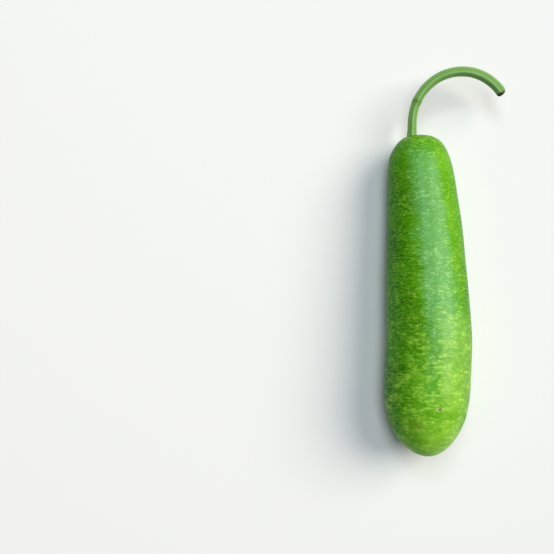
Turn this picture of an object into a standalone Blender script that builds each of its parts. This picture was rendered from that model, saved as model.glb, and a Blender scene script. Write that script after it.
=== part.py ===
"""Bottle gourd, as picked: a club-shaped fruit lying on its side, its hooked stem and the scar of its flower.

Metres, +Z up. The fruit lies along Y with its stem at +Y, and the origin is the middle of the flat
spot that it rests on. A station, s, is a distance along the fruit from its blossom end.
"""

import math

import bmesh
import bpy
from mathutils import Vector

# The fruit, end to end
FRUIT_LENGTH = 0.3205
BELLY_RADIUS = 0.0419
OVAL = 0.012  # how much wider than tall it has grown, as a share of its radius
TAPER_START = 0.0975
TAPER_POWER = 1.64
NECK_DROP = 0.0086  # radius lost between the belly and the neck
BELLY_CAP = 0.0670  # length of the rounded blossom end
BELLY_CAP_POWER = 2.02  # 2 is an ellipse, and more is blunter
NECK_CAP = 0.0445
NECK_CAP_POWER = 2.85
NECK_AT = FRUIT_LENGTH - NECK_CAP

# How it bends and lies
NECK_LEAN = 0.0075  # the stem end leans this far to -X
NECK_LEAN_START = 0.1082
BLOSSOM_LEAN = 0.0040  # and so does the blossom end
BLOSSOM_LEAN_END = 0.1232
REST_AT = 0.1482  # station of the resting spot's middle
REST_DEPTH = 0.0009  # how much the spot has flattened
REST_HALF_LENGTH = 0.075

# Its uneven growth
LOBES = 5
LOBE_DEPTH = 0.010  # of the radius at the neck, fading to nothing at the belly
LOBE_START = 0.6  # radians
LUMP_DEPTH = 0.007
LUMP_LENGTH = 0.120

# Its two ends
STEM_SIDE = 0.0062  # the stem grows this far to the side of the neck's middle
STEM_SIDE_POWER = 12  # how late along the neck's cap that shift comes
END_TILT = math.tan(math.radians(9.8))  # the neck's end faces to -X by this slope
END_TILT_POWER = 3.1
STEM_SEAT_RADIUS = 0.0062
STEM_DIMPLE = 0.0016
STEM_DIMPLE_WIDTH = 0.011
SCAR_DROP = 0.005  # the blossom end droops this far
SCAR_NOD = math.tan(math.radians(18))  # and faces downwards by this slope
SCAR_SIDE = 0.0015  # and grows this far to +X
SCAR_DROP_POWER = 10  # how late along the blossom end's cap all three come
SCAR_SEAT_RADIUS = 0.0042
SCAR_DIMPLE = 0.0018
SCAR_DIMPLE_WIDTH = 0.0070

# The stem: a short root, then one round hook towards +X
STEM_ROOT = 0.0151
HOOK_RADIUS = 0.0500
HOOK_ANGLE = math.radians(143.6)
HOOK_RISE = 0.012
HOOK_RISE_TURN = 0.75 * math.pi  # it climbs, and sinks again after two thirds of its length
STEM_RADIUS_AT_ROOT = 0.0042
STEM_RADIUS_AT_CUT = 0.0051
STEM_FLARE = 0.0011
STEM_FLARE_LENGTH = 0.005
FOOT_LENGTH = 0.006  # of the stem, in which it turns square to its seat
STEM_NODE_AT = 0.036
STEM_NODE_SWELL = 0.0004
STEM_NODE_LENGTH = 0.003
STEM_RIBS = 5
STEM_RIB_DEPTH = 0.075  # of the stem's radius
STEM_TWIST = math.radians(35)
CUT_SLANT = math.tan(math.radians(14))
CUT_SHRINK = 0.97  # the cut end has dried in to this share of the stem's radius
PITH_EDGE = 0.75
PITH_FLOOR = 0.60
CUT_DEPTH = 0.0008
STEM_LENGTH = STEM_ROOT + HOOK_RADIUS * HOOK_ANGLE

# The scar: a corky button with the stub of the flower's style
SCAR_RADIUS = 0.0038
SCAR_HEIGHT = 0.0011
SCAR_STUB_RADIUS = 0.0009
SCAR_STUB_HEIGHT = 0.0017
SCAR_CREASES = 5
SCAR_CREASE_DEPTH = 0.09

SEAT_GAP = 0.0003  # between the fruit and what it carries

# Facets
FRUIT_SIDES = 48
BELLY_CAP_RINGS = 13
BARREL_RINGS = 20
NECK_CAP_RINGS = 12
STEM_SIDES = 20
STEM_RINGS = 46
SCAR_SIDES = 15


def body_radius(s):
    """The fruit's radius at station s, before its ends are rounded off."""
    past = max(0.0, s - TAPER_START) / (NECK_AT - TAPER_START)
    return BELLY_RADIUS - NECK_DROP * past**TAPER_POWER


def droop(s):
    """How far the blossom end has come to hanging down at station s: 1 at its tip, 0 from the belly on."""
    return (max(0.0, BELLY_CAP - s) / BELLY_CAP) ** SCAR_DROP_POWER


def to_stem(s):
    """How far along the neck's cap station s is: 0 before it, 1 at the fruit's end."""
    return max(0.0, s - NECK_AT) / NECK_CAP


def axis_point(s):
    """The middle of the fruit's section at station s."""
    neck_lean = max(0.0, s - NECK_LEAN_START) / (FRUIT_LENGTH - NECK_LEAN_START)
    blossom_lean = max(0.0, 1 - (s / BLOSSOM_LEAN_END) ** 2)
    ends = SCAR_SIDE * droop(s) - STEM_SIDE * to_stem(s) ** STEM_SIDE_POWER
    lift = REST_DEPTH * ((s - REST_AT) / REST_HALF_LENGTH) ** 2
    return Vector((
        ends - NECK_LEAN * neck_lean**2 - BLOSSOM_LEAN * blossom_lean**2,
        s - REST_AT,
        body_radius(s) * (1 - OVAL) - REST_DEPTH + lift - SCAR_DROP * droop(s),
    ))


def growth(s, angle):
    """How far the skin stands out at station s and angle, as a share of the radius: lobes and lumps."""
    lobes = LOBE_DEPTH * (s / FRUIT_LENGTH) ** 2 * math.cos(LOBES * angle + LOBE_START)
    wave = math.sin(math.tau * s / LUMP_LENGTH + 2 * math.sin(angle))
    return lobes + LUMP_DEPTH * wave * math.sin(math.pi * s / FRUIT_LENGTH)


def dimple(s, radius):
    """How far a ring sinks along the fruit towards its middle, round the stem and round the scar."""
    if s > FRUIT_LENGTH / 2:
        return -STEM_DIMPLE * math.exp(-((radius / STEM_DIMPLE_WIDTH) ** 2))
    return SCAR_DIMPLE * math.exp(-((radius / SCAR_DIMPLE_WIDTH) ** 2))


def skin_point(s, radius, angle):
    """Where the fruit's skin is. Angle 0 is the top, and the underside is flat where it rests."""
    out = radius * (1 + growth(s, angle))
    side = out * (1 + OVAL) * math.sin(angle)
    rise = out * (1 - OVAL) * math.cos(angle)
    turned_end = END_TILT * to_stem(s) ** END_TILT_POWER * side - SCAR_NOD * droop(s) * rise
    middle = axis_point(s)
    return Vector((middle.x + side, middle.y + dimple(s, radius) + turned_end, max(0.0, middle.z + rise)))


def cap_rings(seat_radius, full_radius, power, rings):
    """(share of the cap's length past its full ring, share of full radius) from a seat to the full ring."""
    first = math.asin((seat_radius / full_radius) ** (power / 2))
    turns = [first + (math.pi / 2 - first) * i / rings for i in range(rings + 1)]
    return [(max(0.0, math.cos(turn)) ** (2 / power), math.sin(turn) ** (2 / power)) for turn in turns]


def fruit_rings():
    """(station, radius) of each ring of the fruit, from its blossom end to its stem."""
    rings = []
    for past, share in cap_rings(SCAR_SEAT_RADIUS, BELLY_RADIUS, BELLY_CAP_POWER, BELLY_CAP_RINGS):
        rings.append((BELLY_CAP * (1 - past), BELLY_RADIUS * share))
    for i in range(1, BARREL_RINGS):
        s = BELLY_CAP + (NECK_AT - BELLY_CAP) * i / BARREL_RINGS
        rings.append((s, body_radius(s)))
    end_radius = body_radius(FRUIT_LENGTH)
    for past, share in reversed(cap_rings(STEM_SEAT_RADIUS, end_radius, NECK_CAP_POWER, NECK_CAP_RINGS)):
        s = NECK_AT + NECK_CAP * past
        rings.append((s, body_radius(s) * share))
    return rings


def turned(outline, sides):
    """A mesh turned from (height, radius) points about Y, closed on the axis, its faces pointing out."""
    bm = bmesh.new()
    points = [(outline[0][0], 0.0), *outline, (outline[-1][0], 0.0)]
    verts = [bm.verts.new((radius, height, 0.0)) for height, radius in points]
    edges = [bm.edges.new(pair) for pair in zip(verts, verts[1:], strict=False)]
    bmesh.ops.spin(
        bm, geom=verts + edges, cent=(0, 0, 0), axis=(0, 1, 0),
        angle=math.tau, steps=sides, use_merge=True,
    )
    bmesh.ops.remove_doubles(bm, verts=bm.verts, dist=1e-7)
    bmesh.ops.recalc_face_normals(bm, faces=bm.faces)
    return bm


def finished(bm, name, material, parent):
    """The mesh as a smooth-shaded object with its material."""
    mesh = bpy.data.meshes.new(name)
    bm.to_mesh(mesh)
    bm.free()
    mesh.shade_smooth()
    mesh.set_sharp_from_angle(angle=math.radians(50))
    mesh.materials.append(material)
    made = bpy.data.objects.new(name, mesh)
    made.parent = parent
    bpy.context.collection.objects.link(made)
    return made


def finish_of(name, colour, roughness):
    """A plain skin, stem or cork finish."""
    material = bpy.data.materials.new(name)
    material.use_nodes = True
    shader = material.node_tree.nodes["Principled BSDF"]
    shader.inputs["Base Color"].default_value = (*colour, 1.0)
    shader.inputs["Roughness"].default_value = roughness
    shader.inputs["Metallic"].default_value = 0.0
    return material


def make_fruit(parent):
    """The fruit: turned rings, then each point moved to where the skin grew."""
    bm = turned(fruit_rings(), FRUIT_SIDES)
    for v in bm.verts:
        v.co = skin_point(v.co.y, math.hypot(v.co.x, v.co.z), math.atan2(v.co.x, v.co.z))
    return finished(bm, "fruit", finish_of("skin", (0.13, 0.36, 0.03), 0.42), parent)


def stem_point(along):
    """The stem's centreline, from its foot: straight out, then round the hook."""
    turn = max(0.0, along - STEM_ROOT) / HOOK_RADIUS
    straight = min(along, STEM_ROOT)
    return Vector((
        HOOK_RADIUS * (1 - math.cos(turn)),
        straight + HOOK_RADIUS * math.sin(turn),
        HOOK_RISE * math.sin(HOOK_RISE_TURN * along / STEM_LENGTH),
    ))


def stem_axes(along):
    """Unit vectors along the stem, to its outer side and up. The foot sits square on the fruit."""
    step = 0.0005
    forward = Vector((0, 1, 0))
    if along > 0:
        forward = (stem_point(along + step) - stem_point(along - step)).normalized()
    side = forward.cross(Vector((0, 0, 1))).normalized()
    return forward, side, side.cross(forward)


def stem_radius(along):
    """The stem's middle radius: flared at its foot, swollen at its node, thickest at the cut."""
    share = along / STEM_LENGTH
    plain = STEM_RADIUS_AT_ROOT + (STEM_RADIUS_AT_CUT - STEM_RADIUS_AT_ROOT) * share
    flare = STEM_FLARE * math.exp(-along / STEM_FLARE_LENGTH)
    node = STEM_NODE_SWELL * math.exp(-(((along - STEM_NODE_AT) / STEM_NODE_LENGTH) ** 2))
    return plain + flare + node


def stem_rings():
    """(distance along, share of the full radius) of each ring of the stem, and of its sunken pith."""
    rings = [(STEM_LENGTH * i / STEM_RINGS, 1.0) for i in range(STEM_RINGS)]
    return [*rings, (STEM_LENGTH, CUT_SHRINK), (STEM_LENGTH, PITH_EDGE), (STEM_LENGTH - CUT_DEPTH, PITH_FLOOR)]


def stem_skin_point(along, share, turn):
    """A point of the stem's ribbed section, at a share of its radius. Its foot and its cut are slanted."""
    forward, side, up = stem_axes(along)
    out = share * stem_radius(along) * (1 + STEM_RIB_DEPTH * math.cos(STEM_RIBS * turn))
    spun = turn + STEM_TWIST * along / STEM_LENGTH
    across = out * math.sin(spun)
    slant = CUT_SLANT if along > STEM_LENGTH - 2 * CUT_DEPTH else END_TILT * max(0.0, 1 - along / FOOT_LENGTH)
    return stem_point(along) + side * across + up * (out * math.cos(spun)) + forward * (slant * across)


def make_stem(parent, foot):
    """The stem: rings turned straight, then each point moved to its place round the hook."""
    bm = turned(stem_rings(), STEM_SIDES)
    for v in bm.verts:
        v.co = stem_skin_point(v.co.y, math.hypot(v.co.x, v.co.z), math.atan2(v.co.x, v.co.z))
    made = finished(bm, "stem", finish_of("stem_green", (0.19, 0.38, 0.10), 0.5), parent)
    made.location = foot
    return made


def make_scar(parent, seat, nod):
    """The scar: a creased corky button with a stub in its middle, domed outwards and nodding down."""
    outline = [(0.0, SCAR_RADIUS)]
    for i in range(1, 5):
        turn = math.pi / 2 * i / 5
        outline.append((-SCAR_HEIGHT * math.sin(turn), SCAR_RADIUS * math.cos(turn) + SCAR_STUB_RADIUS * i / 5))
    outline.append((-SCAR_STUB_HEIGHT, SCAR_STUB_RADIUS))
    bm = turned(outline, SCAR_SIDES)
    for v in bm.verts:
        angle = math.atan2(v.co.x, v.co.z)
        crease = 1 + SCAR_CREASE_DEPTH * math.cos(SCAR_CREASES * angle)
        v.co.x *= crease
        v.co.z *= crease
    made = finished(bm, "blossom_scar", finish_of("cork", (0.26, 0.17, 0.08), 0.85), parent)
    made.location = seat
    made.rotation_euler.x = nod
    return made


def main():
    for old in list(bpy.data.objects):
        bpy.data.objects.remove(old)
    gourd = bpy.data.objects.new("bottle_gourd", None)
    bpy.context.collection.objects.link(gourd)
    make_fruit(gourd)
    rings = fruit_rings()
    stem_seat = axis_point(rings[-1][0])
    stem_seat.y += dimple(*rings[-1]) + SEAT_GAP
    make_stem(gourd, stem_seat)
    scar_seat = axis_point(rings[0][0])
    scar_seat.y += dimple(*rings[0]) - SEAT_GAP
    make_scar(gourd, scar_seat, math.atan(SCAR_NOD * droop(rings[0][0])))


main()
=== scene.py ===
"""The looks of the bottle gourd: waxy mottled skin, ribbed green stem and corky blossom scar.

It is seen from above. Metres, +Z up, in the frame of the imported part. The fruit lies along Y with its stem
at +Y. A station, s, is a distance along the fruit from its blossom end, and an angle of 0 is the top.
"""

import math

import bmesh
import bpy
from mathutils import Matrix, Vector, noise


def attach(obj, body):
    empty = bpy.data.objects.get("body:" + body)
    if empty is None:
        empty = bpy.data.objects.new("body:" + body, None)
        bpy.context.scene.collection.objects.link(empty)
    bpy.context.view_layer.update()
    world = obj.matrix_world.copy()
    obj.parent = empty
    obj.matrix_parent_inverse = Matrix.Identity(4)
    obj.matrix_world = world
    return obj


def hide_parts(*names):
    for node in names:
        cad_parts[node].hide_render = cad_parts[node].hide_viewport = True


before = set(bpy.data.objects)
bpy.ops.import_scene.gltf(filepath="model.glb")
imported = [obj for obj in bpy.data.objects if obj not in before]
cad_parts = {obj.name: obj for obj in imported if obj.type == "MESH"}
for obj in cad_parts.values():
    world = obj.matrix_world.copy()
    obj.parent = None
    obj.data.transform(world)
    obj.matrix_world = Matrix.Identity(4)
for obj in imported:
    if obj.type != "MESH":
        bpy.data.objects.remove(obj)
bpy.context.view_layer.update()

# The fruit's form, as in the solid that its skin replaces
FRUIT_LENGTH = 0.3205
BELLY_RADIUS = 0.0419
OVAL = 0.012
TAPER_START = 0.0975
TAPER_POWER = 1.64
NECK_DROP = 0.0086
BELLY_CAP = 0.0670
BELLY_CAP_POWER = 2.02
NECK_CAP = 0.0445
NECK_CAP_POWER = 2.85
NECK_AT = FRUIT_LENGTH - NECK_CAP
NECK_LEAN = 0.0075
NECK_LEAN_START = 0.1082
BLOSSOM_LEAN = 0.0040
BLOSSOM_LEAN_END = 0.1232
REST_AT = 0.1482
REST_DEPTH = 0.0009
REST_HALF_LENGTH = 0.075
LOBES = 5
LOBE_DEPTH = 0.010
LOBE_START = 0.6
LUMP_DEPTH = 0.007
LUMP_LENGTH = 0.120
LUMP_SLANT = 2  # how far aslant the lumps run, in radians of their wave
STEM_SIDE = 0.0062
STEM_SIDE_POWER = 12
END_TILT = math.tan(math.radians(9.8))
END_TILT_POWER = 3.1
STEM_SEAT_RADIUS = 0.0062
STEM_DIMPLE = 0.0016
STEM_DIMPLE_WIDTH = 0.011
SCAR_DROP = 0.005
SCAR_NOD = math.tan(math.radians(18))
SCAR_SIDE = 0.0015
SCAR_DROP_POWER = 10
SCAR_SEAT_RADIUS = 0.0042
SCAR_DIMPLE = 0.0018
SCAR_DIMPLE_WIDTH = 0.0070

# What its skin adds to that form
BROAD_LUMPS = (0.00040, 0.050)  # height, size
DENTS = (0.00022, 0.017)
RIPPLES = (0.00006, 0.0050)
RIPPLE_STRETCH = 2.4  # they run round the fruit, so they are this much longer that way
COLLAR_HEIGHT = 0.0007  # the flesh swells round the stem
COLLAR_RADIUS = 0.0085
COLLAR_WIDTH = 0.0026
COLLAR_LOBES = 0.4  # how much higher it is over a lobe of the fruit
PUCKER_DEPTH = 0.0002  # creases that run into the scar
PUCKERS = 9
PUCKER_REACH = 0.006

# The stem's form, as in its solid
STEM_ROOT = 0.0151
HOOK_RADIUS = 0.0500
HOOK_ANGLE = math.radians(143.6)
HOOK_RISE = 0.012
HOOK_RISE_TURN = 0.75 * math.pi
STEM_RADIUS_AT_ROOT = 0.0042
STEM_RADIUS_AT_CUT = 0.0051
STEM_FLARE = 0.0011
STEM_FLARE_LENGTH = 0.005
FOOT_LENGTH = 0.006
STEM_NODE_AT = 0.036
STEM_NODE_SWELL = 0.0004
STEM_NODE_LENGTH = 0.003
STEM_RIBS = 5
STEM_RIB_DEPTH = 0.075
STEM_TWIST = math.radians(35)
CUT_SLANT = math.tan(math.radians(14))
STEM_LENGTH = STEM_ROOT + HOOK_RADIUS * HOOK_ANGLE
SEAT_GAP = 0.0003

# What its surface adds
STEM_SINK = 0.0016  # how deep the foot goes into the flesh
FINE_RIBS = 3  # between one rib and the next
FINE_RIB_DEPTH = 0.016
FINE_RIB_START = 1.0
STEM_WANDER = 0.035  # how unevenly it has grown, as a share of its radius
STEM_WANDER_LENGTH = 0.016
NODE_SCAR_DEPTH = 0.0004
NODE_SCAR_LENGTH = STEM_NODE_LENGTH / 6
SLANT_LENGTH = 0.006  # the slant of the cut is spread over this much of the stem
CUT_ROUND = 0.0026  # the shaft ends this far short of the cut, and the dried, domed end starts
CUT_PROFILE = [  # the dome's rings: how far past the cut, share of the stem's radius
    (-0.0022, 0.995), (-0.0015, 0.985), (-0.0008, 0.96), (0.0, 0.92), (0.0008, 0.85), (0.0015, 0.76),
    (0.0021, 0.64), (0.0025, 0.50), (0.0027, 0.34), (0.0028, 0.17), (0.0028, 0.0),
]

# The scar
SCAR_RADIUS = 0.0038
SCAR_HEIGHT = 0.0011
SCAR_STUB_RADIUS = 0.0009
SCAR_STUB_HEIGHT = 0.0017
SCAR_STUB_TIP = [(1.0, 0.9), (1.0, 0.5), (0.85, 0.0)]  # its rings: share of its height, share of its radius
SCAR_HOLLOW = 0.0003  # how far its face sinks between its rim and its stub
SCAR_CREASES = 5
SCAR_CREASE_DEPTH = 0.09
SCAR_SINK = 0.0006
SCAR_GRAIN = (0.00022, 0.0011)  # height, size

# Facets
FRUIT_SIDES = 256
BELLY_CAP_RINGS = 100
BARREL_RINGS = 150
NECK_CAP_RINGS = 56
SEAT_RINGS = 4
STEM_SIDES = 90
STEM_RINGS = 260
SCAR_SIDES = 72
SCAR_RINGS = 14

# The marks on the skin, seen from above: where they are, and half their sizes
BLEMISH_AT = (0.0032, -0.1009)
BLEMISH_SIZE = (0.0068, 0.0022)
STING_SIZE = (0.0016, 0.0014)
SCRATCH_AT = (-0.0175, -0.1164)
SCRATCH_TURN = math.radians(42)
SCRATCH_SIZE = (0.0008, 0.0095)
BRUISE_SIZE = (0.0040, 0.0085)
MARKED_HEIGHT = (0.045, 0.055)  # they show from this height up, and not on the underside
MARK_WOBBLE = 0.0026

# The camera: it looks down from a little towards the blossom end
FRAME_PIXELS = 554
PIXEL = 0.001  # of the surface at the height of the fruit's middle
CAMERA_HEIGHT = 0.9
CAMERA_TILT = math.radians(4)
CAMERA_AIM = Vector((-0.151, 0.0278, 0.042))

# The lights
LIT_POINT = Vector((0.0, 0.05, 0.04))
KEY_LEAN = math.radians(43)  # from overhead, to the right
KEY_FORWARD = 0.30  # how far it leans to the stem's side
KEY_WIDTH = math.radians(42)
KEY_STRENGTH = 2.90
KEY_COLOUR = (1.0, 0.945, 0.85)
OVERHEAD_AT = (-0.10, 0.50, 2.60)
OVERHEAD_SIZE = (0.85, 2.4)  # along the fruit, across it
OVERHEAD_WATTS = 42.0
OVERHEAD_COLOUR = (0.84, 0.93, 1.0)
SKY_COLOUR = (0.95, 0.98, 1.0, 1.0)
SKY_STRENGTH = 0.05
FLOOR_HALF_WIDTH = 12.0
FLOOR_WHITE = (0.80, 0.80, 0.80, 1.0)


# The forms

def body_radius(s):
    """The fruit's radius at station s, before its ends are rounded off."""
    past = max(0.0, s - TAPER_START) / (NECK_AT - TAPER_START)
    return BELLY_RADIUS - NECK_DROP * past**TAPER_POWER


def droop(s):
    """How far the blossom end has come to hanging down at station s: 1 at its tip, 0 from the belly on."""
    return (max(0.0, BELLY_CAP - s) / BELLY_CAP) ** SCAR_DROP_POWER


def to_stem(s):
    """How far along the neck's cap station s is: 0 before it, 1 at the fruit's end."""
    return max(0.0, s - NECK_AT) / NECK_CAP


def axis_point(s):
    """The middle of the fruit's section at station s."""
    neck_lean = max(0.0, s - NECK_LEAN_START) / (FRUIT_LENGTH - NECK_LEAN_START)
    blossom_lean = max(0.0, 1 - (s / BLOSSOM_LEAN_END) ** 2)
    ends = SCAR_SIDE * droop(s) - STEM_SIDE * to_stem(s) ** STEM_SIDE_POWER
    lift = REST_DEPTH * ((s - REST_AT) / REST_HALF_LENGTH) ** 2
    return Vector((
        ends - NECK_LEAN * neck_lean**2 - BLOSSOM_LEAN * blossom_lean**2,
        s - REST_AT,
        body_radius(s) * (1 - OVAL) - REST_DEPTH + lift - SCAR_DROP * droop(s),
    ))


def growth(s, angle):
    """How far the skin stands out at station s and angle, as a share of the radius: lobes and lumps."""
    lobes = LOBE_DEPTH * (s / FRUIT_LENGTH) ** 2 * math.cos(LOBES * angle + LOBE_START)
    wave = math.sin(math.tau * s / LUMP_LENGTH + LUMP_SLANT * math.sin(angle))
    return lobes + LUMP_DEPTH * wave * math.sin(math.pi * s / FRUIT_LENGTH)


def bell(distance, width):
    """1 in the middle, fading to nothing a little over one width away."""
    return math.exp(-((distance / width) ** 2))


def dimple(s, radius, angle):
    """How far a point is moved along the fruit: sunk round the stem and the scar, swollen in a collar."""
    if s > FRUIT_LENGTH / 2:
        lobed = 1 + COLLAR_LOBES * math.cos(LOBES * angle)
        collar = COLLAR_HEIGHT * bell(radius - COLLAR_RADIUS, COLLAR_WIDTH) * lobed
        return collar - STEM_DIMPLE * bell(radius, STEM_DIMPLE_WIDTH)
    pucker = PUCKER_DEPTH * bell(radius - SCAR_SEAT_RADIUS, PUCKER_REACH) * math.cos(PUCKERS * angle)
    return SCAR_DIMPLE * bell(radius, SCAR_DIMPLE_WIDTH) + pucker * min(1.0, radius / SCAR_SEAT_RADIUS)


def relief(spot):
    """How far the skin stands out at a spot of the unbent fruit: broad lumps, dents and fine ripples."""
    stretched = Vector((spot.x / RIPPLE_STRETCH, spot.y, spot.z / RIPPLE_STRETCH))
    layers = ((BROAD_LUMPS, spot), (DENTS, spot), (RIPPLES, stretched))
    return sum(height * noise.noise(place / size) for (height, size), place in layers)


def skin_point(s, radius, angle, spot):
    """Where the fruit's skin is. The underside is flat where it rests."""
    out = radius * (1 + growth(s, angle)) + relief(spot) * min(1.0, radius / STEM_SEAT_RADIUS)
    side = out * (1 + OVAL) * math.sin(angle)
    rise = out * (1 - OVAL) * math.cos(angle)
    turned_end = END_TILT * to_stem(s) ** END_TILT_POWER * side - SCAR_NOD * droop(s) * rise
    middle = axis_point(s)
    along = middle.y + dimple(s, radius, angle) + turned_end
    return Vector((middle.x + side, along, max(0.0, middle.z + rise)))


def cap_rings(seat_radius, full_radius, power, rings):
    """(share of the cap's length past its full ring, share of full radius) from a seat to the full ring."""
    first = math.asin((seat_radius / full_radius) ** (power / 2))
    turns = [first + (math.pi / 2 - first) * i / rings for i in range(rings + 1)]
    return [(max(0.0, math.cos(turn)) ** (2 / power), math.sin(turn) ** (2 / power)) for turn in turns]


def fruit_rings():
    """(station, radius) of each ring of the fruit, from the pole of its blossom end to that of its stem."""
    rings = []
    for past, share in cap_rings(SCAR_SEAT_RADIUS, BELLY_RADIUS, BELLY_CAP_POWER, BELLY_CAP_RINGS):
        rings.append((BELLY_CAP * (1 - past), BELLY_RADIUS * share))
    for i in range(1, BARREL_RINGS):
        s = BELLY_CAP + (NECK_AT - BELLY_CAP) * i / BARREL_RINGS
        rings.append((s, body_radius(s)))
    end_radius = body_radius(FRUIT_LENGTH)
    for past, share in reversed(cap_rings(STEM_SEAT_RADIUS, end_radius, NECK_CAP_POWER, NECK_CAP_RINGS)):
        s = NECK_AT + NECK_CAP * past
        rings.append((s, body_radius(s) * share))
    shares = [i / SEAT_RINGS for i in range(SEAT_RINGS)]
    scar_seat = [(rings[0][0], rings[0][1] * share) for share in shares]
    stem_seat = [(rings[-1][0], rings[-1][1] * share) for share in reversed(shares)]
    return scar_seat + rings + stem_seat


def grown(name, rings, sides, place):
    """A closed piece: rings of (station, radius) turned about Y, then each point moved to where it grew.

    Each point keeps two attributes that the finishes read: "station", and "spot", its place on the unbent
    piece with the way over the skin from the first ring as Y. place gives the grown point from the
    station, radius, angle and spot.
    """
    ways = [0.0]
    for near, far in zip(rings, rings[1:], strict=False):
        ways.append(ways[-1] + math.dist(near, far))
    bm = bmesh.new()
    outline = [bm.verts.new((radius, number, 0.0)) for number, (_, radius) in enumerate(rings)]
    edges = [bm.edges.new(pair) for pair in zip(outline, outline[1:], strict=False)]
    bmesh.ops.spin(
        bm, geom=outline + edges, cent=(0, 0, 0), axis=(0, 1, 0),
        angle=math.tau, steps=sides, use_merge=True,
    )
    bmesh.ops.remove_doubles(bm, verts=bm.verts, dist=1e-7)
    bmesh.ops.recalc_face_normals(bm, faces=bm.faces)
    unroll(bm, ways)
    spots = bm.verts.layers.float_vector.new("spot")
    stations = bm.verts.layers.float.new("station")
    for v in bm.verts:
        number = round(v.co.y)
        station, radius = rings[number]
        angle = math.atan2(v.co.x, v.co.z)
        spot = Vector((radius * math.sin(angle), ways[number], radius * math.cos(angle)))
        v[spots] = spot
        v[stations] = station
        v.co = place(station, radius, angle, spot)
    mesh = bpy.data.meshes.new(name)
    bm.to_mesh(mesh)
    bm.free()
    mesh.shade_smooth()
    piece = bpy.data.objects.new(name, mesh)
    bpy.context.collection.objects.link(piece)
    return piece


def unroll(bm, ways):
    """A UV map of a turned piece: round it across, along it up. Its seam is underneath."""
    uv = bm.loops.layers.uv.new("OFBake")
    for face in bm.faces:
        middle = face.calc_center_median()
        face_turn = math.atan2(middle.x, middle.z) / math.tau
        for loop in face.loops:
            at = loop.vert.co
            turn = math.atan2(at.x, at.z) / math.tau
            turn = turn + round(face_turn - turn) if math.hypot(at.x, at.z) > 0 else face_turn
            loop[uv].uv = (0.5 + turn, ways[round(at.y)] / ways[-1])


def stem_point(along):
    """The stem's centreline, from its foot: straight out, then round the hook."""
    turn = max(0.0, along - STEM_ROOT) / HOOK_RADIUS
    straight = min(along, STEM_ROOT)
    return Vector((
        HOOK_RADIUS * (1 - math.cos(turn)),
        straight + HOOK_RADIUS * math.sin(turn),
        HOOK_RISE * math.sin(HOOK_RISE_TURN * along / STEM_LENGTH),
    ))


def stem_axes(along):
    """Unit vectors along the stem, to its outer side and up. The foot sits square on the fruit."""
    step = 0.0005
    forward = (stem_point(along + step) - stem_point(along - step)).normalized()
    square = bell(max(0.0, along), STEM_FLARE_LENGTH)
    forward = forward.lerp(Vector((0, 1, 0)), square).normalized()
    side = forward.cross(Vector((0, 0, 1))).normalized()
    return forward, side, side.cross(forward)


def stem_radius(along):
    """The stem's middle radius: flared at its foot, swollen at its node, thickest at the cut."""
    share = along / STEM_LENGTH
    plain = STEM_RADIUS_AT_ROOT + (STEM_RADIUS_AT_CUT - STEM_RADIUS_AT_ROOT) * share
    flare = STEM_FLARE * math.exp(-max(0.0, along) / STEM_FLARE_LENGTH)
    node = STEM_NODE_SWELL * bell(along - STEM_NODE_AT, STEM_NODE_LENGTH)
    crease = NODE_SCAR_DEPTH * bell(along - STEM_NODE_AT, NODE_SCAR_LENGTH)
    return plain + flare + node - crease


def stem_rings():
    """(distance along, radius) of each ring of the stem, from its sunken foot to its dried, domed end."""
    step = (STEM_LENGTH + STEM_SINK - CUT_ROUND) / STEM_RINGS
    shaft = [-STEM_SINK + step * i for i in range(STEM_RINGS)]
    rings = [(along, stem_radius(along)) for along in shaft]
    cut = [(STEM_LENGTH + past, STEM_RADIUS_AT_CUT * share) for past, share in CUT_PROFILE]
    return [(-STEM_SINK, 0.0), *rings, *cut]


def stem_skin_point(along, radius, turn, spot, foot):
    """A point of the stem's ribbed section. Its foot and its cut are slanted."""
    forward, side, up = stem_axes(along)
    ribs = STEM_RIB_DEPTH * math.cos(STEM_RIBS * turn)
    fine = FINE_RIB_DEPTH * math.cos(STEM_RIBS * FINE_RIBS * turn + FINE_RIB_START)
    wander = STEM_WANDER * noise.noise(Vector((math.sin(turn), along / STEM_WANDER_LENGTH, math.cos(turn))))
    out = radius * (1 + ribs + fine + wander)
    spun = turn + STEM_TWIST * along / STEM_LENGTH
    across = out * math.sin(spun)
    slant = CUT_SLANT * bell(STEM_LENGTH - along, SLANT_LENGTH) + END_TILT * max(0.0, 1 - along / FOOT_LENGTH)
    place = foot + stem_point(along) + side * across + up * (out * math.cos(spun))
    return place + forward * (slant * across)


def scar_rings():
    """(height above the skin, radius) of each ring of the scar, from its sunken base to its stub's tip."""
    rings = [(-SCAR_SINK, 0.0), (-SCAR_SINK, SCAR_RADIUS), (0.0, SCAR_RADIUS)]
    for i in range(1, SCAR_RINGS):
        turn = math.pi / 2 * i / SCAR_RINGS
        hollow = SCAR_HOLLOW * math.sin(math.pi * i / SCAR_RINGS) ** 4
        height = SCAR_HEIGHT * math.sin(turn) - hollow
        rings.append((height, SCAR_RADIUS * math.cos(turn) + SCAR_STUB_RADIUS * i / SCAR_RINGS))
    rings.append((SCAR_HEIGHT, SCAR_STUB_RADIUS))
    rings += [(SCAR_STUB_HEIGHT * height, SCAR_STUB_RADIUS * radius) for height, radius in SCAR_STUB_TIP]
    return rings


# The pieces

def make_fruit():
    return grown("fruit_skin", fruit_rings(), FRUIT_SIDES, skin_point)


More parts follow.
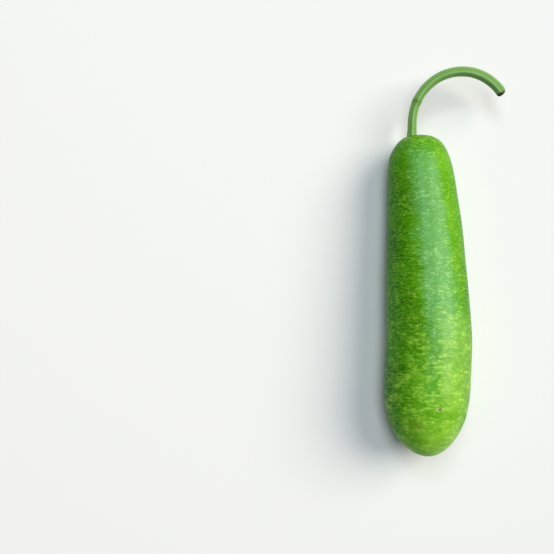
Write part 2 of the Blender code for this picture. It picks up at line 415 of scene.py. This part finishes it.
def make_stem():
    """The stem, whose foot sits in the dimple of the fruit's neck."""
    station, radius = fruit_rings()[-1 - SEAT_RINGS]
    foot = axis_point(station)
    foot.y += -STEM_DIMPLE * bell(radius, STEM_DIMPLE_WIDTH) + SEAT_GAP

    def place(along, radius, turn, spot):
        return stem_skin_point(along, radius, turn, spot, foot)

    return grown("stem_ribbed", stem_rings(), STEM_SIDES, place)


def make_scar():
    """The scar: domed outwards and nodding down, its rim creased and its face cracked."""
    station, radius = fruit_rings()[SEAT_RINGS]
    seat = axis_point(station)
    seat.y += SCAR_DIMPLE * bell(radius, SCAR_DIMPLE_WIDTH) - SEAT_GAP
    nod = math.atan(SCAR_NOD * droop(station))
    outward = Vector((0, -math.cos(nod), -math.sin(nod)))
    upward = Vector((0, -math.sin(nod), math.cos(nod)))

    def place(height, radius, angle, spot):
        crease = 1 + SCAR_CREASE_DEPTH * math.cos(SCAR_CREASES * angle)
        depth, size = SCAR_GRAIN
        rough = depth * noise.noise(spot / size)
        out = radius * crease
        lift = height + rough * min(1.0, radius / SCAR_STUB_RADIUS)
        point = seat + outward * lift + upward * (out * math.cos(angle))
        return point + Vector((out * math.sin(angle), 0, 0))

    return grown("blossom_scar_cork", scar_rings(), SCAR_SIDES, place)


# The finishes

class Wire:
    """A socket in a material's nodes. Arithmetic on it adds Math nodes, and node() adds any other node."""

    def __init__(self, tree, socket=None):
        self.tree = tree
        self.socket = socket

    def node(self, kind, settings, inputs, output=0):
        """Adds a node: its settings first, then what its inputs hold, each a value or a Wire."""
        made = self.tree.nodes.new(kind)
        for name, value in settings.items():
            setattr(made, name, value)
        for name, value in inputs.items():
            if isinstance(value, Wire):
                self.tree.links.new(value.socket, made.inputs[name])
            else:
                made.inputs[name].default_value = value
        return Wire(self.tree, made.outputs[output])

    def beside(self, output):
        """Another output of the node that this wire comes from."""
        return Wire(self.tree, self.socket.node.outputs[output])

    def maths(self, operation, *others):
        return self.node("ShaderNodeMath", {"operation": operation}, dict(enumerate((self, *others))))

    def __add__(self, other):
        return self.maths("ADD", other)

    def __sub__(self, other):
        return self.maths("SUBTRACT", other)

    def __rsub__(self, other):
        return self * -1.0 + other

    def __mul__(self, other):
        return self.maths("MULTIPLY", other)

    __radd__ = __add__
    __rmul__ = __mul__


def between(value, low, high):
    """0 up to low and 1 from high on, with a smooth step between them. High may be below low."""
    return value.node(
        "ShaderNodeMapRange", {"interpolation_type": "SMOOTHSTEP"},
        {"Value": value, "From Min": low, "From Max": high},
    )


def scaled(place, around, along):
    """The spot in units of a pattern's size, round the piece and along it."""
    return place.node(
        "ShaderNodeVectorMath", {"operation": "MULTIPLY"},
        {0: place, 1: (1 / around, 1 / along, 1 / around)},
    )


def moved(place, x, y, z):
    """The place moved by that much, which also gives another stretch of the same noise."""
    return place.node("ShaderNodeVectorMath", {"operation": "ADD"}, {0: place, 1: (x, y, z)})


def grain(place, around, along, detail=2.0, roughness=0.5, distortion=0.0):
    """Noise of that size round the piece and along it, mostly from 0.3 to 0.7."""
    return place.node(
        "ShaderNodeTexNoise", {},
        {"Vector": scaled(place, around, along), "Scale": 1.0, "Detail": detail,
         "Roughness": roughness, "Distortion": distortion},
    )


def flecks(place, around, along, crowd):
    """Short dashes of many sizes, one to each cell of that size: 1 in a dash's middle, 0 off it.

    They grow where crowd is high, till they merge.
    """
    distance = place.node(
        "ShaderNodeTexVoronoi", {}, {"Vector": scaled(place, around, along), "Scale": 1.0},
    )
    chance = parts_of(distance.beside(1))[0]
    edge = chance * (crowd * 0.50 + 0.45)
    return between(distance, edge, edge * 0.40)


def dots(place, spacing, size):
    """Small round dots scattered about a spacing apart: 1 in a dot's middle, 0 off it."""
    distance = place.node(
        "ShaderNodeTexVoronoi", {}, {"Vector": scaled(place, spacing, spacing), "Scale": 1.0},
    )
    return between(distance, size / spacing, size / spacing / 3)


def oval(place, centre, half_sizes, turn):
    """An oval mark on top of the piece, seen from above: 1 in its middle, 0 outside it."""
    turned = place.node(
        "ShaderNodeVectorRotate", {"rotation_type": "Z_AXIS"},
        {"Vector": place, "Center": (*centre, 0.0), "Angle": -turn},
    )
    across, along = half_sizes
    shrunk = place.node(
        "ShaderNodeVectorMath", {"operation": "MULTIPLY"},
        {0: moved(turned, -centre[0], -centre[1], 0.0), 1: (1 / across, 1 / along, 0.0)},
    )
    distance = place.node("ShaderNodeVectorMath", {"operation": "LENGTH"}, {0: shrunk}, 1)
    return between(distance, 1.0, 0.55) * between(parts_of(place)[2], *MARKED_HEIGHT)


def wobbled(place, size, reach):
    """The place moved about a little, by noise of that size and reach, for marks with ragged edges."""
    noise_at = place.node(
        "ShaderNodeTexNoise", {}, {"Vector": scaled(place, size, size), "Scale": 1.0, "Detail": 2.0}, 1,
    )
    centred = moved(noise_at, -0.5, -0.5, -0.5)
    shift = place.node("ShaderNodeVectorMath", {"operation": "SCALE"}, {0: centred, 3: reach * 2})
    return place.node("ShaderNodeVectorMath", {"operation": "ADD"}, {0: place, 1: shift})


def parts_of(place):
    """The X, Y and Z of a place."""
    return [place.node("ShaderNodeSeparateXYZ", {}, {0: place}, output) for output in range(3)]


def mixed(below, above, share):
    """One colour over another. A colour is a Wire or three numbers."""
    colours = [c if isinstance(c, Wire) else (*c, 1.0) for c in (below, above)]
    return share.node(
        "ShaderNodeMix", {"data_type": "RGBA"}, {0: share, 6: colours[0], 7: colours[1]}, 2,
    )


def spot_of(wire):
    """The spot on the unbent piece that each point keeps."""
    return wire.node("ShaderNodeAttribute", {"attribute_name": "spot"}, {}, 1)


def station_of(wire):
    """How far along the piece each point is."""
    return wire.node("ShaderNodeAttribute", {"attribute_name": "station"}, {}, 2)


def object_place(wire):
    """The point's own place, in metres."""
    return wire.node("ShaderNodeTexCoord", {}, {}, 3)


def finish(name, uniform):
    """A material, its shader with the values that are the same all over it, and a Wire to start from."""
    material = bpy.data.materials.new(name)
    material.use_nodes = True
    shader = material.node_tree.nodes["Principled BSDF"]
    for socket, value in uniform.items():
        shader.inputs[socket].default_value = value
    return material, shader, Wire(material.node_tree)


def feed(shader, inputs):
    """Joins what changes over the surface to the shader's sockets."""
    for socket, wire in inputs.items():
        wire.tree.links.new(wire.socket, shader.inputs[socket])


def bumped(height, distance, strength):
    """Fine relief in the shading."""
    return height.node("ShaderNodeBump", {}, {"Height": height, "Distance": distance, "Strength": strength})


# Where the skin changes: bands of the way over it from its blossom end, and of X across it
# painted reflection: the blossom tip is painted paler over this band
PAINTED_SHEEN_AT_TIP = (0.055, 0.015)
TO_BLOSSOM = (0.27, 0.05)
NEAR_STEM = (0.305, 0.350)
# painted light on the skin's right top, and painted shade on its left flank and at its right edge
PAINTED_LIT_SIDE = (-0.048, 0.022)
PAINTED_SHADE_EDGE = (0.018, 0.041)
MILKY_FROM = (0.050, 0.090)
MILKY_TO = (0.175, 0.125)
MILKY_SIDE = (0.0, 0.016)

# The waxy band along its top, in radians round the fruit. It gives the coat, and it holds a blue-green bloom
# in the base colour that is partly painted sheen
WAX_AND_SHEEN_SLANT = 2.4  # for each metre over the fruit
WAX_AND_SHEEN_START = 0.64  # how far round to the right its middle is at the blossom end
WAX_AND_SHEEN_HALF_WIDTH = 0.58
WAX_AND_SHEEN_FULL_WIDTH = 0.08  # it is at its full strength up to this far from its middle
WAX_AND_SHEEN_END = (0.336, 0.310)
# the bloom, partly painted sheen, shows from this far along the fruit on
BLOOM_AND_SHEEN_FROM = (0.075, 0.170)

# The sizes of its patterns, round it and along it
TONE_SIZE = (0.055, 0.050)
WASH_SIZE = (0.030, 0.022)
WEATHERED_SIZE = (0.030, 0.024)
CLUMP_SIZE = (0.017, 0.011)
BLOTCH_SIZE = (0.013, 0.0080)
LARGE_FLECK_SIZE = (0.0054, 0.0021)
SMALL_FLECK_SIZE = (0.0029, 0.0013)
STREAK_SIZE = (0.0052, 0.0011)
FINE_SIZE = (0.0014, 0.0009)
DOT_SPACING, DOT_SIZE = 0.011, 0.0007
PIT_SPACING, PIT_SIZE = 0.024, 0.0011

DEEP_GREEN = (0.016, 0.125, 0.001)
LEAF_GREEN = (0.038, 0.225, 0.002)
FRESH_GREEN = (0.145, 0.410, 0.009)
PALE_GREEN = (0.285, 0.585, 0.045)
MILK_GREEN = (0.440, 0.690, 0.120)
# the bloom's blue-green and the cooler green its flecks take under it: partly painted sheen
BLOOM_AND_SHEEN_GREEN = (0.105, 0.365, 0.090)
FROSTED_AND_SHEENED_GREEN = (0.320, 0.640, 0.210)
OLIVE = (0.230, 0.330, 0.020)
PIT_GREEN = (0.020, 0.080, 0.004)
BLEMISH_PALE = (0.480, 0.560, 0.160)
BLEMISH_BROWN = (0.120, 0.070, 0.018)


def skin_finish():
    """Green skin with fine pale dashes round it, which merge into blotches towards the blossom end. Painted
    light and shade: paler over its right top and at its blossom tip, darker on its left flank and right edge,
    and a blue-green bloom along its top that is partly painted sheen.
    """
    material, shader, wire = finish("gourd_skin", {
        "IOR": 1.46, "Specular IOR Level": 0.10, "Specular Tint": (0.40, 0.85, 1.0, 1.0),
        "Coat IOR": 1.35, "Coat Roughness": 0.34,
    })
    spot = spot_of(wire)
    across, way, up = parts_of(spot)
    to_blossom = between(way, *TO_BLOSSOM)
    near_stem = between(way, *NEAR_STEM)
    # painted light and shade: paler over the right top, darker on the left flank and at the right edge
    painted_light_and_shade = between(across, *PAINTED_LIT_SIDE) - between(across, *PAINTED_SHADE_EDGE) * 0.8

    ragged = wobbled(spot, 0.0022, 0.0009)
    tone = grain(spot, *TONE_SIZE)
    clumps = grain(moved(spot, 0.3, 0.1, 0.2), *CLUMP_SIZE, detail=3.0, roughness=0.6)
    streaks = grain(ragged, *STREAK_SIZE, roughness=0.6)
    blotches = grain(moved(spot, 0.1, 0.6, 0.5), *BLOTCH_SIZE, detail=5.0, roughness=0.70, distortion=0.4)
    fine = grain(moved(spot, 0.5, 0.8, 0.3), *FINE_SIZE)

    from_middle = across.maths("ARCTAN2", up) + way * WAX_AND_SHEEN_SLANT - WAX_AND_SHEEN_START
    from_middle = from_middle + (clumps - 0.5) * 0.7 + (streaks - 0.5) * 0.5
    wax_and_sheen_band = between(from_middle * from_middle, WAX_AND_SHEEN_HALF_WIDTH**2, WAX_AND_SHEEN_FULL_WIDTH**2) * between(way, *WAX_AND_SHEEN_END)
    # the band gives the coat; the bloom in it is partly painted sheen in the base colour
    bloom_and_painted_sheen = wax_and_sheen_band * between(way, *BLOOM_AND_SHEEN_FROM)

    blotched = between(blotches + to_blossom * 0.07 + painted_light_and_shade * 0.05, 0.54, 0.70)
    blotched = blotched * (0.25 + 0.75 * to_blossom)
    # the pale wash is kept to the side of the painted light
    washed = between(grain(moved(spot, 0.6, 0.3, 0.7), *WASH_SIZE), 0.42, 0.66)
    washed = washed * painted_light_and_shade * (to_blossom * 0.6 + 0.4)
    crowd = between(clumps + painted_light_and_shade * 0.06, 0.34, 0.62) * 0.50
    crowd = crowd + blotched * 0.65 + washed * 0.15 + near_stem * 0.45
    small_flecks = flecks(moved(ragged, 0.7, 0.4, 0.1), *SMALL_FLECK_SIZE, crowd)
    large_flecks = flecks(ragged, *LARGE_FLECK_SIZE, crowd)
    milky = between(way, *MILKY_FROM) * between(way, *MILKY_TO) * between(across, *MILKY_SIDE)

    leafy = between(tone + (streaks - 0.5) * 1.1 + painted_light_and_shade * 0.1, 0.36, 0.62)
    colour = mixed(DEEP_GREEN, LEAF_GREEN, leafy)
    colour = mixed(colour, FRESH_GREEN, between(streaks + (fine - 0.5) * 0.4, 0.45, 0.63) * 0.58)
    # painted light: fresher green over the right top; painted shade: less of it on the left flank and the
    # right edge
    colour = mixed(colour, FRESH_GREEN, (painted_light_and_shade - near_stem * 0.6) * 0.56)
    # a pale wash on the painted light's side, and painted reflection at the blossom tip
    colour = mixed(colour, PALE_GREEN, washed * 0.45 + between(way, *PAINTED_SHEEN_AT_TIP) * 0.35)
    # bloom along the top, partly painted sheen: a blue-green tint, and cooler flecks under it
    colour = mixed(colour, BLOOM_AND_SHEEN_GREEN, bloom_and_painted_sheen * (streaks * 1.1 - 0.02))
    fleck_and_sheen_green = mixed(PALE_GREEN, FROSTED_AND_SHEENED_GREEN, bloom_and_painted_sheen)
    colour = mixed(colour, fleck_and_sheen_green, small_flecks * (0.20 + painted_light_and_shade * 0.10 + crowd * 0.34))
    colour = mixed(colour, fleck_and_sheen_green, large_flecks * (0.20 + painted_light_and_shade * 0.08 + crowd * 0.38))
    colour = mixed(colour, PALE_GREEN, blotched * 0.40)
    colour = mixed(colour, MILK_GREEN, milky * (blotches + 0.2) * 0.36 + blotched * large_flecks * 0.35)

    weathered = grain(moved(spot, 0.9, 0.2, 0.8), *WEATHERED_SIZE, detail=4.0, roughness=0.7)
    weathered = between(weathered, 0.66, 0.76)
    pale_dots = dots(spot, DOT_SPACING, DOT_SIZE)
    pits = dots(moved(spot, 0.2, 0.5, 0.9), PIT_SPACING, PIT_SIZE)
    colour = mixed(colour, OLIVE, weathered * 0.55)
    colour = mixed(colour, MILK_GREEN, pale_dots * 0.45)
    colour = mixed(colour, PIT_GREEN, pits * 0.75)

    marked = wobbled(object_place(wire), MARK_WOBBLE, MARK_WOBBLE)
    sting = oval(marked, BLEMISH_AT, STING_SIZE, 0.0)
    scratch = oval(marked, SCRATCH_AT, SCRATCH_SIZE, SCRATCH_TURN)
    colour = mixed(colour, BLEMISH_PALE, oval(marked, BLEMISH_AT, BLEMISH_SIZE, 0.0) * 0.55)
    colour = mixed(colour, BLEMISH_BROWN, sting * 0.80)
    colour = mixed(colour, OLIVE, oval(marked, SCRATCH_AT, BRUISE_SIZE, SCRATCH_TURN) * 0.35)
    colour = mixed(colour, BLEMISH_BROWN, scratch * 0.45)

    rough = 0.34 + large_flecks * 0.05 + (clumps - 0.5) * 0.15 + weathered * 0.1
    raised = large_flecks * 0.35 + streaks * 0.3 + pale_dots * 0.5 + fine * 0.25
    feed(shader, {
        "Base Color": colour, "Roughness": rough, "Coat Weight": wax_and_sheen_band * 0.50 + 0.03,
        "Normal": bumped(raised - pits - scratch - sting * 1.5, 0.00012, 0.35),
    })
    return material


# The bands of its marks: how far from the node, or past the cut, they fade out and are full
NODE_PATCH = (0.0050, 0.0010)
NODE_LINE = (0.0011, 0.0002)
CUT_DRIED = (-0.0010, 0.0006)
CUT_BLACKENED = (0.0002, 0.0014)

# The sizes of its patterns, round it and along it
STEM_STREAK_SIZE = (0.00110, 0.030)
HAIRLINE_SIZE = (0.00040, 0.012)
PATCH_SIZE = (0.020, 0.016)

STEM_GREEN = (0.165, 0.350, 0.080)
STEM_PALE = (0.250, 0.450, 0.170)
STEM_DARK = (0.125, 0.285, 0.045)
NODE_OLIVE = (0.070, 0.090, 0.022)
DRY_BROWN = (0.085, 0.050, 0.018)
CUT_BLACK = (0.018, 0.012, 0.007)


def stem_finish():
    """Grey-green stem, painted darker in its grooves as shade and paler on its ribs as highlight, with paler
    lines along it, an olive line at its node and a dried, blackened end.
    """
    material, shader, wire = finish("stem_skin", {"IOR": 1.45, "Specular IOR Level": 0.35})
    spot = spot_of(wire)
    along = station_of(wire)
    across, _, depth = parts_of(spot)
    ridge = (across.maths("ARCTAN2", depth) * STEM_RIBS).maths("COSINE")
    streaks = grain(spot, *STEM_STREAK_SIZE, detail=3.0, roughness=0.6)
    hairlines = grain(moved(spot, 0.2, 0.1, 0.6), *HAIRLINE_SIZE)
    patches = grain(moved(spot, 0.3, 0.2, 0.4), *PATCH_SIZE, detail=4.0, roughness=0.6)

    # painted shade in the grooves between the ribs, and painted highlight along their crests
    colour = mixed(STEM_DARK, STEM_GREEN, between(ridge + (streaks - 0.5) * 1.6, -1.2, -0.2))
    colour = mixed(colour, STEM_PALE, between(ridge + (streaks - 0.5) * 2.0, 0.1, 1.0) * 0.65)
    colour = mixed(colour, STEM_PALE, between(hairlines, 0.56, 0.70) * 0.35)
    colour = mixed(colour, STEM_DARK, between(patches, 0.54, 0.72) * 0.35)

    past_node = along - STEM_NODE_AT + (streaks - 0.5) * 0.006
    node_patch = between(past_node * past_node, *(reach**2 for reach in NODE_PATCH))
    colour = mixed(colour, STEM_DARK, node_patch * between(hairlines + streaks, 0.90, 1.10) * 0.7)
    node_line = between(past_node * past_node, *(reach**2 for reach in NODE_LINE))
    colour = mixed(colour, NODE_OLIVE, node_line * between(hairlines + streaks, 0.85, 1.15) * 0.85)

    to_inner_side = across * 0.33 + depth * 0.23
    past_cut = along - STEM_LENGTH + to_inner_side + (streaks - 0.5) * 0.004
    dried = between(past_cut, *CUT_DRIED)
    colour = mixed(colour, DRY_BROWN, dried * 0.80)
    colour = mixed(colour, CUT_BLACK, between(past_cut, *CUT_BLACKENED) * 0.85)

    rough = 0.46 + streaks * 0.15 + dried * 0.25
    height = streaks * 0.6 + hairlines * 0.4 - node_line
    feed(shader, {"Base Color": colour, "Roughness": rough, "Normal": bumped(height, 0.00025, 0.4)})
    return material


FLAKE_SIZE = (0.0012, 0.0009)
CORK = (0.210, 0.125, 0.055)
CORK_DARK = (0.050, 0.027, 0.012)
CORK_PALE = (0.400, 0.300, 0.160)


def cork_finish():
    """Dry brown cork, with dark cracks and paler flakes."""
    material, shader, wire = finish("scar_cork", {"IOR": 1.4})
    spot = spot_of(wire)
    flakes = grain(spot, *FLAKE_SIZE, detail=5.0, roughness=0.7)
    colour = mixed(CORK_DARK, CORK, between(flakes, 0.35, 0.60))
    colour = mixed(colour, CORK_PALE, between(flakes, 0.56, 0.72) * 0.7)
    relief_of_flakes = bumped(flakes, 0.0003, 0.6)
    feed(shader, {"Base Color": colour, "Roughness": 0.75 + flakes * 0.2, "Normal": relief_of_flakes})
    return material


# The studio

def make_camera():
    camera = bpy.data.cameras.new("camera")
    camera.sensor_width = 36.0
    camera.lens = camera.sensor_width * CAMERA_HEIGHT / (FRAME_PIXELS * PIXEL)
    back = Vector((0, -math.sin(CAMERA_TILT), math.cos(CAMERA_TILT)))
    seen_from = bpy.data.objects.new("camera", camera)
    seen_from.location = CAMERA_AIM + back * CAMERA_HEIGHT
    seen_from.rotation_euler = (-back).to_track_quat("-Z", "Y").to_euler()
    bpy.context.collection.objects.link(seen_from)
    bpy.context.scene.camera = seen_from


def place_light(light, at):
    """Puts a light there, turned to the gourd."""
    lamp = bpy.data.objects.new(light.name, light)
    lamp.location = at
    lamp.rotation_euler = (LIT_POINT - Vector(at)).to_track_quat("-Z", "Y").to_euler()
    lamp.visible_camera = False
    bpy.context.collection.objects.link(lamp)


def make_key():
    """A broad, far light from the right, so that it falls evenly over the whole floor."""
    light = bpy.data.lights.new("key", "SUN")
    light.angle = KEY_WIDTH
    light.energy = KEY_STRENGTH
    light.color = KEY_COLOUR
    place_light(light, LIT_POINT + Vector((math.sin(KEY_LEAN), KEY_FORWARD, math.cos(KEY_LEAN))))


def make_overhead():
    """A wide softbox high over the gourd, whose reflection is the sheen along its top."""
    light = bpy.data.lights.new("overhead", "AREA")
    light.shape = "RECTANGLE"
    light.size, light.size_y = OVERHEAD_SIZE
    light.energy = OVERHEAD_WATTS
    light.color = OVERHEAD_COLOUR
    place_light(light, OVERHEAD_AT)


def make_floor():
    bm = bmesh.new()
    bmesh.ops.create_grid(bm, x_segments=1, y_segments=1, size=FLOOR_HALF_WIDTH)
    mesh = bpy.data.meshes.new("floor")
    bm.to_mesh(mesh)
    bm.free()
    floor = bpy.data.objects.new("floor", mesh)
    bpy.context.collection.objects.link(floor)
    paper, shader, _ = finish("paper", {"Base Color": FLOOR_WHITE, "Roughness": 0.9})
    mesh.materials.append(paper)


def make_studio():
    world = bpy.data.worlds.new("studio")
    world.use_nodes = True
    sky = world.node_tree.nodes["Background"]
    sky.inputs["Color"].default_value = SKY_COLOUR
    sky.inputs["Strength"].default_value = SKY_STRENGTH
    bpy.context.scene.world = world
    bpy.context.scene.view_settings.view_transform = "Standard"
    make_key()
    make_overhead()
    make_floor()


def dress(piece, node, material):
    """Puts the finished piece in the place of its node."""
    piece.data.materials.append(material)
    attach(piece, "root")
    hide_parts(node)


make_camera()
make_studio()
dress(make_fruit(), "fruit", skin_finish())
dress(make_stem(), "stem", stem_finish())
dress(make_scar(), "blossom_scar", cork_finish())
